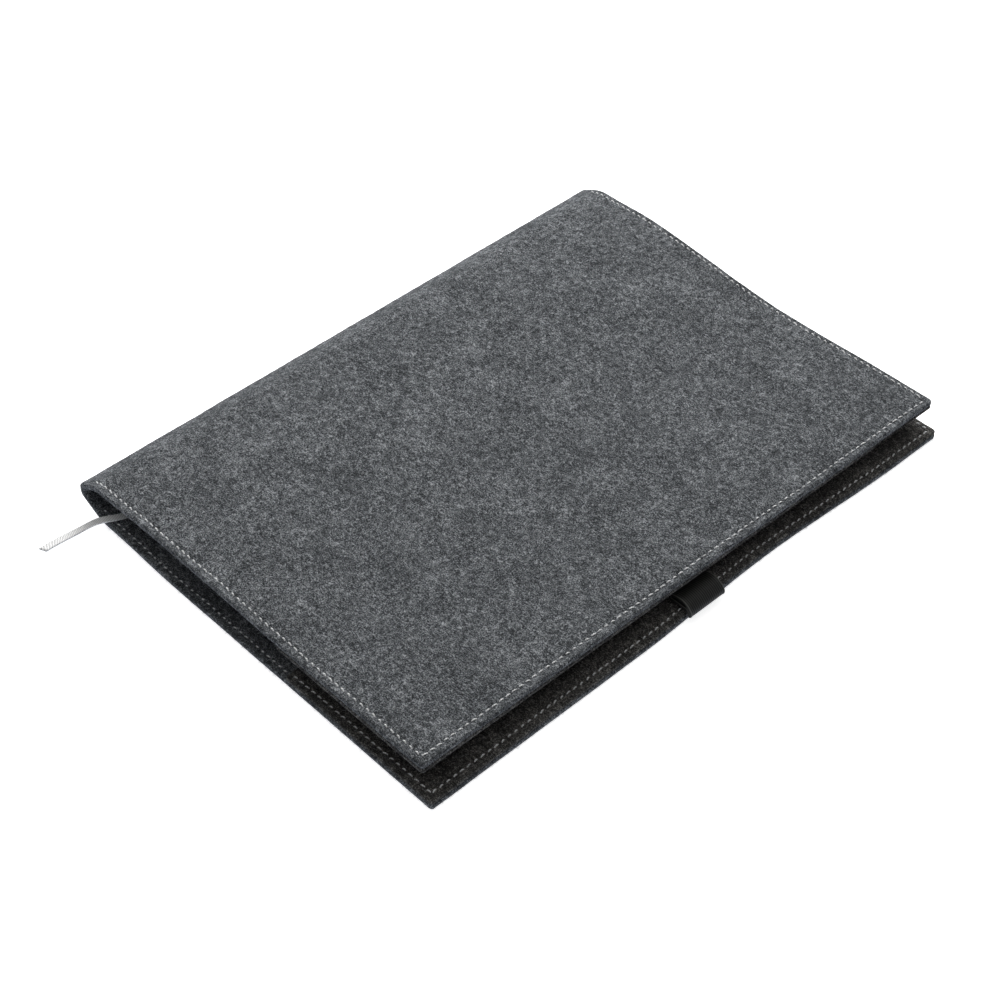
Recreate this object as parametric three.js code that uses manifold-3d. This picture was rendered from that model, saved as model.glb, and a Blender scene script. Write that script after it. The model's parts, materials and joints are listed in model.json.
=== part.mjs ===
// A folding felt cover for a tablet: two felt boards joined by a soft folded spine, sewn-on pocket
// flaps inside, an elastic pen loop at the middle of the back board's free edge, and a ribbon
// bookmark that lies in the gutter and runs out at the foot. Millimetres, +Z up.
//
// While it is being shaped, x runs from the outside of the spine's nose to the free edges, y runs
// from foot to head with 0 at mid-length, and z is the height above the table. The case lies shut.
import * as THREE from "three";
import { mergeVertices } from "three/addons/utils/BufferGeometryUtils.js";
import Module from "manifold-3d";

// Overall sizes
const CASE_LENGTH = 250; // foot to head
const BACK_WIDTH = 184.6; // nose of the spine to the back board's free edge
const FRONT_SETBACK = 3.8; // the front board's free edge stops this far short of the back board's
const SPINE_HEIGHT = 19.0; // top of the shut spine above the table

// Felt and what is sewn to it
const FELT = 2.4; // outer felt
const FLAP_FELT = 1.9; // felt of the pocket flaps
const LAYER_GAP = 0.3; // clearance between pieces that lie on each other
const POCKET_DEPTH = 72; // free edge to pocket mouth
const CORNER_RADIUS = 1.6;
const EDGE_WAVE = 2.2; // how far the back board's free edge pulls in beside the pen loop
const EDGE_WAVE_CENTRE = 35; // y of the deepest point of that wave
const EDGE_WAVE_SPAN = 68; // half its length

// Seams: each row of stitches is one cord of thread that lies in a crease of the felt
const SEAM_INSET = 3; // stitches from the edge
const THREAD_WIDTH = 0.6;
const THREAD_THICK = 0.35;
const THREAD_SUNK = 0.15; // top of the thread below the felt's face
const CREASE_CLEARANCE = 0.3;
const SEAM_END = 1; // a row stops this far from the spine's turn or the pocket mouth

// Fold of the spine: how far the felt turns at each of its four hinge lines, from back to front
const TURNS = [30, 60, 60, 30].map(THREE.MathUtils.degToRad);
const SOFT_TURN = 12; // felt length over which it turns at the two outer lines
const INNER_RADIUS = 0.45; // tightest bend of the felt's inner face, at the nose
const LOWER_SHARE = 0.6; // share of the fold's straight felt that lies below the nose
const FOLD_STEP = 0.8; // felt length from point to point along the fold
const HINGE_GAP = 0.3;

// Sag of the shut boards
const SPINE_LIFT = 1.7; // the back board rises by this towards the spine
const LIFT_WIDTH = 36; // over this width
const FOOT_SWELL = 1.0; // swell of the front board near the spine, foot end
const HEAD_SWELL = 0.7; // the same, head end
const FOOT_DROP = 0.9; // fall of the front board from that swell to its free edge, foot end
const HEAD_DIP = 5.0; // dip across the middle of the front board, head end
const HEAD_RETURN = 1.6; // rise from that dip to the free edge

// Elastic pen loop
const LOOP_WIDTH = 17;
const ELASTIC = 0.8; // thickness of the elastic
const LOOP_REACH = 9.4; // hinge line to the loop's inner end, middle of the elastic
const LOOP_OPEN = 2.7; // between the middles of its upper and lower leaves
const LEAF_CLEARANCE = 0.5; // lower leaf above the pocket flap
const HINGE_OUT = 1.8; // hinge line outside the free edge
const TAB_LENGTH = 8; // sewn-in ends of the elastic, between the back board's two felts
const TAB_SHORT = 0.9; // they stop this far short of the loop's root
const TAB_CLEARANCE = 0.3;

// Ribbon bookmark
const RIBBON_WIDTH = 3;
const RIBBON_THICK = 0.5;
const TACK_SPAN = 5.2; // bar of thread across the ribbon's sewn end
const TACK_WIDTH = 1.2;
const TACK_THICK = 0.6;
const TACK_INSET = 1; // from the ribbon's end

const HALF = CASE_LENGTH / 2;
const FRONT_WIDTH = BACK_WIDTH - FRONT_SETBACK;
const FLAP_LOW = FELT + LAYER_GAP; // depth below the outer face at which a flap starts
const FLAP_HIGH = FLAP_LOW + FLAP_FELT;
const HINGE_HEIGHT = FLAP_LOW + ELASTIC / 2; // level with the elastic's sewn-in ends
const LOWER_LEAF = FLAP_HIGH + LEAF_CLEARANCE + ELASTIC / 2 - HINGE_HEIGHT; // above the hinge line
const LOOP_CROWN = LOWER_LEAF + LOOP_OPEN;

// The ribbon's middle line, from its sewn end at the head, down the gutter, over the foot edge and
// down to the table: x from the spine's nose, y from the foot edge, z above the table.
const RIBBON_ROUTE = [
  [21.6, 244, 4.6],
  [21.4, 225, 4.6],
  [21.0, 195, 4.6],
  [20.8, 160, 4.6],
  [20.9, 125, 4.6],
  [21.0, 90, 4.6],
  [20.8, 60, 4.6],
  [20.2, 36, 4.65],
  [19.0, 18, 4.75],
  [17.3, 8, 4.95],
  [15.6, 3.2, 5.15],
  [13.7, 0, 5.1],
  [11.9, -2.6, 4.35],
  [10.2, -5.2, 2.95],
  [8.6, -8.4, 1.45],
  [7.5, -11.8, 0.65],
  [7.0, -15.2, 0.38],
  [6.8, -18.8, 0.35],
  [6.8, -22.4, 0.35],
];

const OVERCUT = 1; // a cut runs this far past the face it opens

const wasm = await Module();
wasm.setup();

// ---------------------------------------------------------------- solids

const smooth = (t) => THREE.MathUtils.smoothstep(t, 0, 1);
const spread = (a, b, n) => Array.from({ length: n + 1 }, (_, i) => a + ((b - a) * i) / n);
const point = (x, y, z) => new THREE.Vector3(x, y, z);

function toSolid(geometry) {
  const bare = new THREE.BufferGeometry();
  bare.setAttribute("position", geometry.getAttribute("position"));
  bare.setIndex(geometry.index);
  const merged = mergeVertices(bare, 1e-4);
  return new wasm.Manifold(
    new wasm.Mesh({
      numProp: 3,
      vertProperties: new Float32Array(merged.attributes.position.array),
      triVerts: new Uint32Array(merged.index.array),
    }),
  );
}

function toGeometry(solid) {
  const { vertProperties, triVerts } = solid.getMesh();
  const geometry = new THREE.BufferGeometry();
  geometry.setAttribute("position", new THREE.BufferAttribute(vertProperties, 3));
  geometry.setIndex(new THREE.BufferAttribute(triVerts, 1));
  geometry.computeVertexNormals();
  return geometry;
}

function cut(geometry, ...tools) {
  return toGeometry(tools.reduce((left, tool) => left.subtract(toSolid(tool)), toSolid(geometry)));
}

function indexed(points, index) {
  const geometry = new THREE.BufferGeometry().setFromPoints(points).setIndex(index);
  geometry.computeVertexNormals();
  return geometry;
}

// A closed body through rings of points. Each ring goes round the section at one step of the way,
// clockwise when seen looking along the way.
function skin(rings) {
  const n = rings[0].length;
  const index = [];
  for (let i = 0; i + 1 < rings.length; i++)
    for (let k = 0; k < n; k++) {
      const a = i * n + k;
      const b = i * n + ((k + 1) % n);
      index.push(a, b, b + n, a, b + n, a + n);
    }
  const last = (rings.length - 1) * n;
  for (let k = 1; k + 1 < n; k++) {
    index.push(0, k + 1, k);
    index.push(last, last + k, last + k + 1);
  }
  return indexed(rings.flat(), index);
}

// A closed slab over a grid: top(i, j) and bottom(i, j) give its points, x growing with i and y with j.
function slab(columns, rows, top, bottom) {
  const points = [];
  for (const face of [top, bottom])
    for (let i = 0; i < columns; i++) for (let j = 0; j < rows; j++) points.push(face(i, j));
  const below = columns * rows;
  const index = [];
  const quad = (a, b, c, d) => index.push(a, b, c, a, c, d);
  for (let i = 0; i + 1 < columns; i++)
    for (let j = 0; j + 1 < rows; j++) {
      const a = i * rows + j;
      quad(a, a + rows, a + rows + 1, a + 1);
      quad(below + a, below + a + 1, below + a + rows + 1, below + a + rows);
    }
  for (let i = 0; i + 1 < columns; i++) {
    const foot = i * rows;
    const head = foot + rows - 1;
    quad(below + foot, below + foot + rows, foot + rows, foot);
    quad(head, head + rows, below + head + rows, below + head);
  }
  for (let j = 0; j + 1 < rows; j++) {
    const free = (columns - 1) * rows + j;
    quad(j, j + 1, below + j + 1, below + j);
    quad(free, below + free, below + free + 1, free + 1);
  }
  return indexed(points, index);
}

function box(x0, x1, y0, y1, z0, z1) {
  const geometry = new THREE.BoxGeometry(x1 - x0, y1 - y0, z1 - z0);
  return geometry.translate((x0 + x1) / 2, (y0 + y1) / 2, (z0 + z1) / 2);
}

// A section drawn in x and z, carried along y for the given length, with its middle at y = 0.
function alongY(section, length) {
  const geometry = new THREE.ExtrudeGeometry(section, { depth: length, bevelEnabled: false });
  return geometry.rotateX(Math.PI / 2).translate(0, length / 2, 0);
}

// ---------------------------------------------------------------- fold of the spine

// The outer face of the fold, walked from the back board over the nose to the front board. At each
// hinge line the heading turns by that line's share, smoothly, over a set length of felt.
function foldedFace() {
  const noseTurn = 1.5 * TURNS[1] * (FELT + INNER_RADIUS); // a smoothstep peaks at 1.5 times its mean rate
  const lengths = [SOFT_TURN, noseTurn, noseTurn, SOFT_TURN];
  const walk = (lower, upper) => {
    const starts = [0, SOFT_TURN + lower, SOFT_TURN + lower + noseTurn];
    starts.push(starts[2] + noseTurn + upper);
    const total = starts[3] + SOFT_TURN;
    const heading = (s) => TURNS.reduce((sum, turn, i) => sum + turn * smooth((s - starts[i]) / lengths[i]), 0);
    const steps = Math.round(total / FOLD_STEP);
    const ds = total / steps;
    const face = [{ s: 0, x: 0, z: SPINE_LIFT, phi: 0 }];
    for (let i = 1; i <= steps; i++) {
      const middle = heading((i - 0.5) * ds);
      const { x, z } = face[i - 1];
      face.push({
        s: i * ds,
        x: x - ds * Math.cos(middle),
        z: z + ds * Math.sin(middle),
        phi: heading(i * ds),
      });
    }
    return { face, hinges: starts.map((start, i) => start + lengths[i] / 2) };
  };
  const bareHeight = walk(0, 0).face.at(-1).z;
  const straight = (SPINE_HEIGHT - bareHeight) / Math.sin(TURNS[0]);
  const walked = walk(straight * LOWER_SHARE, straight * (1 - LOWER_SHARE));
  const nose = Math.min(...walked.face.map((p) => p.x));
  for (const p of walked.face) p.x -= nose;
  return walked;
}

const fold = foldedFace();
const foldEnd = fold.face.at(-1);

// The point of the outer face at felt length s, between the two nearest steps.
function onFold(s) {
  const ds = fold.face[1].s;
  const i = Math.min(fold.face.length - 2, Math.floor(s / ds));
  const [a, b] = [fold.face[i], fold.face[i + 1]];
  const mix = (key) => THREE.MathUtils.lerp(a[key], b[key], s / ds - i);
  return { s, x: mix("x"), z: mix("z"), phi: mix("phi") };
}

const hinges = fold.hinges.map(onFold);
const inward = (p, depth) => ({ x: p.x + depth * Math.sin(p.phi), z: p.z + depth * Math.cos(p.phi) });
// How far a point lies past a hinge line, measured along the felt there.
const past = (p, hinge) => (hinge.x - p.x) * Math.cos(hinge.phi) + (p.z - hinge.z) * Math.sin(hinge.phi);

// The stretch of folded felt between two hinge lines, ending half a gap short of each.
function stave(from, to) {
  const half = HINGE_GAP / 2;
  const between = (p) => past(p, from) > half && past(p, to) < -half;
  const corner = (hinge, shift, depth) => {
    const p = inward(hinge, depth);
    return { x: p.x - shift * Math.cos(hinge.phi), z: p.z + shift * Math.sin(hinge.phi) };
  };
  const strip = fold.face.filter((p) => p.s > from.s && p.s < to.s);
  const outer = [corner(from, half, 0), ...strip.filter(between), corner(to, -half, 0)];
  const felt = strip.map((p) => inward(p, FELT)).filter(between);
  const inner = [corner(from, half, FELT), ...felt, corner(to, -half, FELT)];
  const outline = [...outer, ...inner.reverse()].map((p) => new THREE.Vector2(p.x, p.z));
  return alongY(new THREE.Shape(outline), CASE_LENGTH);
}

// ---------------------------------------------------------------- boards and flaps

// The height of the folded felt at x, on the lower side before the nose or on the upper side after it.
function foldHeight(x, upper) {
  const side = fold.face.filter((p) => (upper ? p.s > hinges[2].s : p.s < hinges[1].s));
  const i = side.findIndex((p, k) => k && (x - side[k - 1].x) * (x - p.x) <= 0);
  const [a, b] = [side[i - 1], side[i]];
  return THREE.MathUtils.lerp(a.z, b.z, (x - a.x) / (b.x - a.x));
}

// Height of the back board's outer face: flat on the table, rising a little towards the spine.
function backFace(x) {
  const start = fold.face[0].x;
  return x < start ? foldHeight(x, false) : SPINE_LIFT * smooth((start + LIFT_WIDTH - x) / LIFT_WIDTH);
}

// Height of the front board's outer face: each end has its own sag, and the board twists evenly between.
function frontFace(x, y) {
  if (x < foldEnd.x) return foldHeight(x, true);
  const share = (x - foldEnd.x) / (FRONT_WIDTH - foldEnd.x);
  const swell = smooth(share / 0.14);
  const foot = FOOT_SWELL * swell - FOOT_DROP * smooth((share - 0.33) / 0.25);
  const head =
    HEAD_SWELL * swell - HEAD_DIP * smooth((share - 0.11) / 0.46) + HEAD_RETURN * smooth((share - 0.58) / 0.37);
  return SPINE_HEIGHT + foot + (head - foot) * (0.5 + y / CASE_LENGTH);
}

// Free edge of the back board, which pulls in a little beside the pen loop.
function backEdge(y) {
  const t = (y - EDGE_WAVE_CENTRE) / EDGE_WAVE_SPAN;
  return BACK_WIDTH - EDGE_WAVE * (1 - smooth(Math.abs(t)));
}

// Each board: its outer face, which way is inwards, where it starts and its free edge.
const BACK = { face: backFace, up: 1, start: hinges[0].x, width: BACK_WIDTH, edge: backEdge };
const FRONT = { face: frontFace, up: -1, start: hinges[3].x, width: FRONT_WIDTH, edge: () => FRONT_WIDTH };

// The point of a board at x and y and at a depth inwards from its outer face, square to that face.
function inBoard(side, x, y, depth) {
  const step = 0.05;
  const slope = (side.face(x + step, y) - side.face(x - step, y)) / (2 * step);
  const reach = (side.up * depth) / Math.hypot(1, slope);
  return point(x - slope * reach, y, side.face(x, y) + reach);
}

// A layer of felt on a board from x = start to the free edge, between two depths, with two rounded corners.
function layer(side, start, near, far, columns) {
  const run = side.width - start;
  const fromEdge = [...spread(run, CORNER_RADIUS, columns).slice(0, -1), ...spread(CORNER_RADIUS, 0, 3)];
  const rows = spread(-1, 1, 12);
  const at = (depth) => (i, j) => {
    const round = THREE.MathUtils.clamp(1 - fromEdge[i] / CORNER_RADIUS, 0, 1);
    const half = HALF - CORNER_RADIUS * (1 - Math.sqrt(1 - round ** 2));
    const y = rows[j] * half;
    const x = side.edge(y) - (fromEdge[i] * (side.edge(y) - start)) / run;
    return inBoard(side, x, y, depth);
  };
  const [top, bottom] = side.up > 0 ? [far, near] : [near, far];
  return slab(fromEdge.length, rows.length, at(top), at(bottom));
}

// A cord of thread, or the crease it lies in, along the foot, free and head edges of a board.
function seam(side, start, near, far, width) {
  const end = HALF - SEAM_INSET;
  const corner = side.width - SEAM_INSET;
  const foot = spread(start, corner, 10).map((x) => [x, -end]);
  const free = spread(-end, end, 16).map((y) => [side.edge(y) - SEAM_INSET, y]);
  const head = spread(corner, start, 10).map((x) => [x, end]);
  const way = [...foot.slice(0, -1), ...free, ...head.slice(1)].map(([x, y]) => new THREE.Vector2(x, y));
  const rings = way.map((p, i) => {
    const into = (way[i - 1] ? p.clone().sub(way[i - 1]) : way[1].clone().sub(p)).normalize();
    const out = (way[i + 1] ? way[i + 1].clone().sub(p) : into.clone()).normalize();
    const across = into.clone().add(out).normalize();
    const reach = width / 2 / across.dot(into);
    const right = [p.x + across.y * reach, p.y - across.x * reach];
    const left = [p.x - across.y * reach, p.y + across.x * reach];
    const ring = [inBoard(side, ...right, near), inBoard(side, ...right, far)];
    ring.push(inBoard(side, ...left, far), inBoard(side, ...left, near));
    return side.up > 0 ? ring.reverse() : ring;
  });
  return skin(rings);
}

const threadFloor = THREAD_SUNK + THREAD_THICK;
const creaseFloor = threadFloor + CREASE_CLEARANCE;
const creaseWidth = THREAD_WIDTH + 2 * CREASE_CLEARANCE;
const pocketMouth = (side) => side.width - POCKET_DEPTH;
const outerStart = (side) => (side === BACK ? fold.face[0].x : foldEnd.x) + SEAM_END;
const innerStart = (side) => pocketMouth(side) + SEAM_END;

const outerThread = (side) => seam(side, outerStart(side), THREAD_SUNK, threadFloor, THREAD_WIDTH);
const outerCrease = (side) =>
  seam(side, outerStart(side) - CREASE_CLEARANCE, -OVERCUT, creaseFloor, creaseWidth);
const innerThread = (side) =>
  seam(side, innerStart(side), FLAP_HIGH - threadFloor, FLAP_HIGH - THREAD_SUNK, THREAD_WIDTH);
const innerCrease = (side) =>
  seam(side, innerStart(side) - CREASE_CLEARANCE, FLAP_HIGH - creaseFloor, FLAP_HIGH + OVERCUT, creaseWidth);

const board = (side) => cut(layer(side, side.start + HINGE_GAP / 2, 0, FELT, 22), outerCrease(side));
const flap = (side) => cut(layer(side, pocketMouth(side), FLAP_LOW, FLAP_HIGH, 8), innerCrease(side));

// ---------------------------------------------------------------- pen loop

const loopHinge = { x: backEdge(0) + HINGE_OUT, z: HINGE_HEIGHT };

// Middle of the elastic, once round: up outside the free edge, in over the crown, round the inner
// end and back along the lower leaf. Lengths are from the hinge line.
function penLoop() {
  const [r, c, w] = [LOOP_REACH, LOOP_CROWN, LOWER_LEAF];
  const root = 0.6; // half the gap between the leaves where they leave the seam
  const way = [
    [0, 0],
    [root, 0.19 * c],
    [1.25 * root, 0.48 * c],
    [0.1, 0.82 * c],
    [-0.2 * r, c],
    [-0.48 * r, 0.97 * c],
    [-0.78 * r, w + 0.75 * LOOP_OPEN],
    [-r, w + 0.26 * LOOP_OPEN],
    [-0.94 * r, w + 0.02 * LOOP_OPEN],
    [-0.7 * r, w],
    [-0.36 * r, w],
    [-0.18 * r, w],
    [-1.15 * root, 0.65 * w],
  ].map(([x, z]) => new THREE.Vector3(loopHinge.x + x, loopHinge.z + z, 0));
  const curve = new THREE.CatmullRomCurve3(way, true);
  const steps = 48;
  const offset = (distance) =>
    spread(0, 1, steps)
      .slice(0, -1)
      .map((t) => {
        const p = curve.getPointAt(t);
        const tangent = curve.getTangentAt(t);
        return new THREE.Vector2(p.x + tangent.y * distance, p.y - tangent.x * distance);
      });
  const section = new THREE.Shape(offset(ELASTIC / 2));
  section.holes.push(new THREE.Path(offset(-ELASTIC / 2)));
  return alongY(section, LOOP_WIDTH);
}

// The elastic's sewn-in ends between the two felts, or with room round them the pocket cut for them.
function penLoopTab(room = 0) {
  const end = loopHinge.x - ELASTIC / 2 - TAB_SHORT;
  const half = LOOP_WIDTH / 2 + room;
  return box(end - TAB_LENGTH - room, end + 4 * room, -half, half, FLAP_LOW - room, FLAP_LOW + ELASTIC + room);
}

// ---------------------------------------------------------------- ribbon bookmark

const ribbonPoints = RIBBON_ROUTE.map(([x, y, z]) => point(x, y - HALF, z));
const ribbonWay = new THREE.CatmullRomCurve3(ribbonPoints, false, "centripetal");

function ribbon() {
  const steps = 44;
  const up = point(0, 0, 1);
  const rings = spread(0, 1, steps).map((t) => {
    const p = ribbonWay.getPointAt(t);
    const tangent = ribbonWay.getTangentAt(t);
    const across = tangent.clone().cross(up).normalize();
    const above = across.clone().cross(tangent);
    const [w, h] = [RIBBON_WIDTH / 2, RIBBON_THICK / 2];
    const rim = [
      [w, 0],
      [w - h, -h],
      [0, -h],
      [h - w, -h],
      [-w, 0],
      [h - w, h],
      [0, h],
      [w - h, h],
    ];
    return rim.map(([a, b]) => p.clone().addScaledVector(across, a).addScaledVector(above, b));
  });
  return skin(rings);
}

// A bar of thread over the ribbon's sewn end, with a leg each side down to the felt.
function ribbonTack() {
  const [x, end, z] = RIBBON_ROUTE[0];
  const y = end - HALF - TACK_INSET;
  const room = LAYER_GAP;
  const under = z + RIBBON_THICK / 2 + room;
  const foot = backFace(x) + FELT + LAYER_GAP;
  const [half, wide] = [TACK_SPAN / 2, TACK_WIDTH / 2];
  const bar = box(x - half, x + half, y - wide, y + wide, foot, under + TACK_THICK);
  const slot = RIBBON_WIDTH / 2 + room;
  return cut(bar, box(x - slot, x + slot, y - TACK_WIDTH, y + TACK_WIDTH, foot - OVERCUT, under));
}

// ---------------------------------------------------------------- assembly

const felt = (color) => new THREE.MeshStandardMaterial({ color, roughness: 0.95, metalness: 0 });
const feltGrey = felt(0x5c5f63);
const flapGrey = felt(0x55585b);
const threadGrey = new THREE.MeshStandardMaterial({ color: 0xc9ccd0, roughness: 0.6, metalness: 0 });
const elasticBlack = new THREE.MeshStandardMaterial({ color: 0x2a2a29, roughness: 0.8, metalness: 0 });
const ribbonSilver = new THREE.MeshStandardMaterial({ color: 0xb9bab8, roughness: 0.5, metalness: 0 });

const tabletCase = new THREE.Group();
function add(name, geometry, material) {
  const mesh = new THREE.Mesh(geometry, material);
  mesh.name = name;
  tabletCase.add(mesh);
}

add("back_felt", board(BACK), feltGrey);
add("back_pocket_flap", cut(flap(BACK), penLoopTab(TAB_CLEARANCE)), flapGrey);
add("back_outer_seam", outerThread(BACK), threadGrey);
add("back_inner_seam", innerThread(BACK), threadGrey);
add("pen_loop_tab", penLoopTab(), elasticBlack);
add("pen_loop", penLoop(), elasticBlack);
add("spine_felt_lower", stave(hinges[0], hinges[1]), feltGrey);
add("spine_felt_nose", stave(hinges[1], hinges[2]), feltGrey);
add("spine_felt_upper", stave(hinges[2], hinges[3]), feltGrey);
add("front_felt", board(FRONT), feltGrey);
add("front_pocket_flap", flap(FRONT), flapGrey);
add("front_outer_seam", outerThread(FRONT), threadGrey);
add("front_inner_seam", innerThread(FRONT), threadGrey);
add("ribbon_bookmark", ribbon(), ribbonSilver);
add("ribbon_tack", ribbonTack(), threadGrey);

// The finished case stands with the middle of its footprint, ribbon left out, at the origin.
const loopEdge = new THREE.Box3().setFromObject(tabletCase.getObjectByName("pen_loop")).max.x;
tabletCase.position.x = -loopEdge / 2;

export default tabletCase;
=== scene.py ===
"""A grey felt folio for a tablet, shut on a table: one folded felt sheet with sewn-in flaps, topstitched
edges, an elastic pen loop and a ribbon bookmark."""

import json
import math

import bpy
import numpy as np
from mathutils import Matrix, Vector


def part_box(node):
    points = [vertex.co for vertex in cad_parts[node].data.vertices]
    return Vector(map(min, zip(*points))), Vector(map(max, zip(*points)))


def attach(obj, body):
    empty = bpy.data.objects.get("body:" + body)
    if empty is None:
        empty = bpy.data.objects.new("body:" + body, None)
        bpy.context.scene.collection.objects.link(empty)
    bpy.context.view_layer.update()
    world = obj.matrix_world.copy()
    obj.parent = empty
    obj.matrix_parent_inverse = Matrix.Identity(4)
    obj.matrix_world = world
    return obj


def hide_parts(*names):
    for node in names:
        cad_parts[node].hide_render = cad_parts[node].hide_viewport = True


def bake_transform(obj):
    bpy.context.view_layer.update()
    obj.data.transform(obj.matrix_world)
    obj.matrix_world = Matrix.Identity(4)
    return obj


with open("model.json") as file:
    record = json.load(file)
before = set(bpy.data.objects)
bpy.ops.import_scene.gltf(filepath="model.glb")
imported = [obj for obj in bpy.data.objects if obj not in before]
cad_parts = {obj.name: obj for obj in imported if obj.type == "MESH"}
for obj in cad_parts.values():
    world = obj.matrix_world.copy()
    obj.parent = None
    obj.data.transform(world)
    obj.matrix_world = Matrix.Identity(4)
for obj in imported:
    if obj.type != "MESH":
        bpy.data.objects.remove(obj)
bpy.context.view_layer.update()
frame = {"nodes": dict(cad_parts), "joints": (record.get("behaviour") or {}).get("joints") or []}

# ---------------------------------------------------------------- camera
# A long lens looks down at the case from over its foot end and free edge, at half a right angle.
# It frames the whole case with room round it.
AZIMUTH = math.radians(46.62)
ELEVATION = math.radians(44.57)
LENS_DISTANCE = 0.7996
LENS_LENGTH, FILM_WIDTH = 80.5, 36
aim = Vector((0.0049, -0.0138, 0.0))
towards_lens = Vector(
    (
        math.sin(AZIMUTH) * math.cos(ELEVATION),
        -math.cos(AZIMUTH) * math.cos(ELEVATION),
        math.sin(ELEVATION),
    )
)
camera = bpy.data.objects.new("camera", bpy.data.cameras.new("camera"))
camera.data.lens = LENS_LENGTH
camera.data.sensor_width = FILM_WIDTH
camera.location = aim + towards_lens * LENS_DISTANCE
camera.rotation_mode = "QUATERNION"
camera.rotation_quaternion = (-towards_lens).to_track_quat("-Z", "Y")
bpy.context.scene.collection.objects.link(camera)
bpy.context.scene.camera = camera

# ---------------------------------------------------------------- ribbon bookmark
# A flat woven satin ribbon, pale silver grey. Its head end is sewn to the inside of the spine, and it
# lies down the gutter, runs over the foot edge and ends on the table in a slanting heat-cut end.
RIBBON_WIDTH = 0.003
RIBBON_THICK = 0.0005
TWILL_PITCH, PICK_PITCH = 0.0011, 0.0005
CUT_STEPS, CUT_SLANT = 11, 0.22
MM = 0.001
ribbon_route = np.array(
    [
        (21.6, 244, 4.6),
        (21.4, 225, 4.6),
        (21.0, 195, 4.6),
        (20.8, 160, 4.6),
        (20.9, 125, 4.6),
        (21.0, 90, 4.6),
        (20.8, 60, 4.6),
        (20.2, 36, 4.65),
        (19.0, 18, 4.75),
        (17.3, 8, 4.95),
        (15.6, 3.2, 5.15),
        (13.7, 0, 5.1),
        (11.9, -2.6, 4.35),
        (10.2, -5.2, 2.95),
        (8.6, -8.4, 1.45),
        (7.5, -11.8, 0.65),
        (7.0, -15.2, 0.38),
        (6.8, -18.8, 0.35),
        (6.8, -22.4, 0.35),
    ]
)
back_low, back_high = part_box("back_felt")
nose_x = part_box("spine_felt_nose")[0].x
foot_y, head_y = back_low.y, back_high.y
ribbon_route = ribbon_route * MM + (nose_x, foot_y, 0)


def smooth(t):
    """3t^2 - 2t^3 between 0 and 1, flat outside."""
    t = np.clip(t, 0, 1)
    return t * t * (3 - 2 * t)


def through(points, count):
    """A centripetal Catmull-Rom curve through the points, then resampled at equal steps of its length."""
    ends = np.vstack([2 * points[0] - points[1], points, 2 * points[-1] - points[-2]])
    knots = np.r_[0, np.cumsum(np.linalg.norm(np.diff(ends, axis=0), axis=1) ** 0.5)]
    t = np.linspace(knots[1], knots[-2], 40 * len(points))
    i = np.clip(np.searchsorted(knots, t, side="right") - 1, 1, len(points) - 1)
    a = (t - knots[i])[:, None] / (knots[i + 1] - knots[i])[:, None]

    def tangent(k):
        before = (ends[k] - ends[k - 1]) / (knots[k] - knots[k - 1])[:, None]
        after = (ends[k + 1] - ends[k]) / (knots[k + 1] - knots[k])[:, None]
        share = ((knots[k] - knots[k - 1]) / (knots[k + 1] - knots[k - 1]))[:, None]
        return before * (1 - share) + after * share

    span = (knots[i + 1] - knots[i])[:, None]
    curve = (
        (2 * a**3 - 3 * a**2 + 1) * ends[i]
        + (a**3 - 2 * a**2 + a) * span * tangent(i)
        + (3 * a**2 - 2 * a**3) * ends[i + 1]
        + (a**3 - a**2) * span * tangent(i + 1)
    )
    length = np.r_[0, np.cumsum(np.linalg.norm(np.diff(curve, axis=0), axis=1))]
    even = np.linspace(0, length[-1], count)
    return np.stack([np.interp(even, length, curve[:, k]) for k in range(3)], axis=1)


def mesh_piece(name, points, faces):
    """A smooth mesh object at the origin, from an array of points and one of faces with equal corners."""
    mesh = bpy.data.meshes.new(name)
    faces = np.asarray(faces, np.int32)
    sides = faces.shape[1]
    mesh.vertices.add(len(points))
    mesh.vertices.foreach_set("co", np.asarray(points, np.float32).ravel())
    mesh.loops.add(faces.size)
    mesh.loops.foreach_set("vertex_index", faces.ravel())
    mesh.polygons.add(len(faces))
    mesh.polygons.foreach_set("loop_start", np.arange(0, faces.size, sides, dtype=np.int32))
    mesh.polygons.foreach_set("use_smooth", np.full(len(faces), True))
    mesh.update(calc_edges=True)
    mesh.validate()
    piece = bpy.data.objects.new(name, mesh)
    bpy.context.scene.collection.objects.link(piece)
    return piece


def tube_faces(rings, sides):
    """Quads joining each ring of a tube to the next, with both ends closed by a strip of quads across."""
    i, k = np.meshgrid(np.arange(rings - 1), np.arange(sides), indexing="ij")
    a = (i * sides + k).ravel()
    b = (i * sides + (k + 1) % sides).ravel()
    walls = np.stack([a, b, b + sides, a + sides], axis=1)
    half = np.arange(sides // 2 - 1)
    start = np.stack([half, sides - 1 - half, sides - 2 - half, half + 1], axis=1)
    end = start[:, ::-1] + (rings - 1) * sides
    return np.vstack([walls, start, end])


def face_outwards(piece):
    """Turns a closed mesh round if its volume, the sum of a . (b x c) over its triangles, is negative."""
    mesh = piece.data
    mesh.calc_loop_triangles()
    corners = np.empty(len(mesh.loop_triangles) * 3, np.int32)
    mesh.loop_triangles.foreach_get("vertices", corners)
    points = np.empty(len(mesh.vertices) * 3, np.float32)
    mesh.vertices.foreach_get("co", points)
    a, b, c = points.reshape(-1, 3)[corners.reshape(-1, 3)].astype(float).transpose(1, 0, 2)
    if (a * np.cross(b, c)).sum() < 0:
        mesh.flip_normals()
    return piece


def put_attribute(piece, name, values):
    """A number for each point of the mesh, which its material reads by name."""
    layer = piece.data.attributes.new(name, "FLOAT", "POINT")
    layer.data.foreach_set("value", np.asarray(values, np.float32).ravel())


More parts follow.
